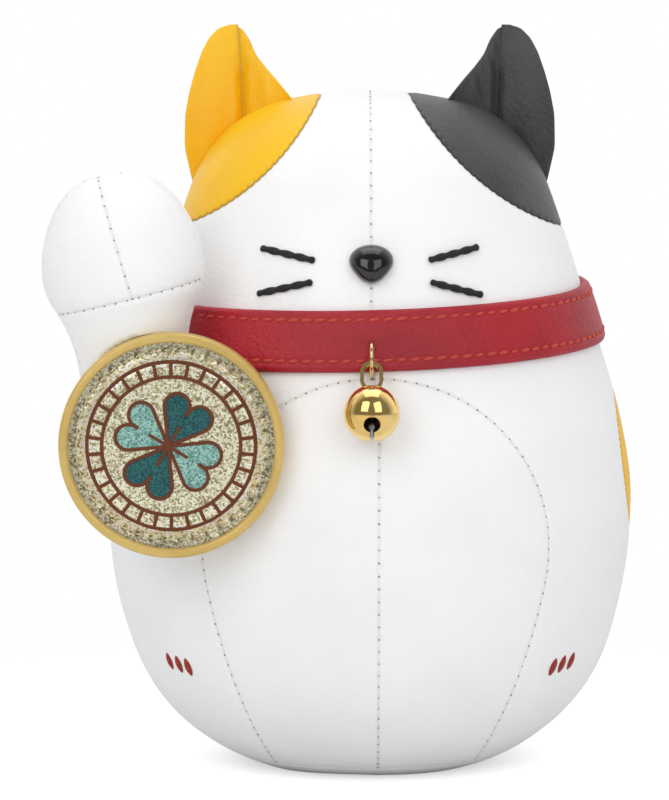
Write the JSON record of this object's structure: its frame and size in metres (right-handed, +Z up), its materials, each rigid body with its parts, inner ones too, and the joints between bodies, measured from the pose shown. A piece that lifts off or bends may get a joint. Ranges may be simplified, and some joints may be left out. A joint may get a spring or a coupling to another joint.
{
  "type": "beckoning cat figurine",
  "caption": "Sewn leather beckoning cat figurine with a weighted egg-shaped body, folded ears, raised paw, padded coin, stitched collar and swinging jingle bell.",
  "frame": {"origin": "on the table under the middle of the body", "axes": "+Z up, the face looks along -Y, +X is the cat's own left"},
  "size_m": [0.1507, 0.1394, 0.1929],
  "materials": {
    "white_leather": "satin",
    "yellow_leather": "satin",
    "grey_leather": "satin",
    "gold_leather": "satin",
    "glitter_leather": "satin",
    "red_leather": "satin",
    "black_gloss": "gloss",
    "clear_plastic": "satin",
    "black_thread": "matte",
    "red_thread": "matte",
    "ring_wire": "polished",
    "bell_brass": "polished",
    "pellet_steel": "satin",
    "stuffing": "matte",
    "grit": "matte",
    "board": "matte"
  },
  "bodies": {
    "body": {"front_panel_left": "white_leather", "front_panel_right": "white_leather", "belly_panel_left": "white_leather", "belly_panel_right": "white_leather", "back_panel_left": "white_leather", "back_panel_right": "white_leather", "base_panel": "white_leather", "arm_front": "white_leather", "arm_back": "white_leather", "paw_outer": "white_leather", "paw_inner": "white_leather", "tail": "white_leather", "patch_right": "yellow_leather", "flank_patch": "yellow_leather", "ear_right_back": "yellow_leather", "ear_right_lining_inner": "yellow_leather", "ear_right_lining_outer": "yellow_leather", "patch_left": "grey_leather", "ear_left_back": "grey_leather", "ear_left_lining_inner": "grey_leather", "ear_left_lining_outer": "grey_leather", "coin_rim": "gold_leather", "coin_face": "glitter_leather", "coin_back": "gold_leather", "coin_pad": "stuffing", "collar_strap": "red_leather", "collar_lap": "red_leather", "collar_lining": "red_leather", "nose": "black_gloss", "nose_washer": "clear_plastic", "whiskers": "black_thread", "toe_marks": "red_thread", "body_stuffing": "stuffing", "arm_stuffing": "stuffing", "tail_stuffing": "stuffing", "weight_bag": "grit", "base_board": "board"},
    "ring": {"jump_ring": "ring_wire"},
    "bell": {"bell_loop": "bell_brass", "bell_upper_shell": "bell_brass", "bell_lower_shell": "bell_brass"},
    "pellet": {"bell_pellet": "pellet_steel"}
  },
  "joints": [
    {"name": "ring_swing", "type": "hinge", "parent": "body", "child": "ring", "pos_m": [0, -0.05392, 0.11041], "axis": [1, 0, 0], "range_deg": [-40, 0]},
    {"name": "bell_swing", "type": "hinge", "parent": "ring", "child": "bell", "pos_m": [0, -0.05764, 0.10826], "axis": [0, 0.8549, -0.5188], "range_deg": [-20, 20]},
    {"name": "pellet_slide", "type": "slide", "parent": "bell", "child": "pellet", "axis": [0, 0, 1], "range_m": [0, 0.0071]}
  ]
}
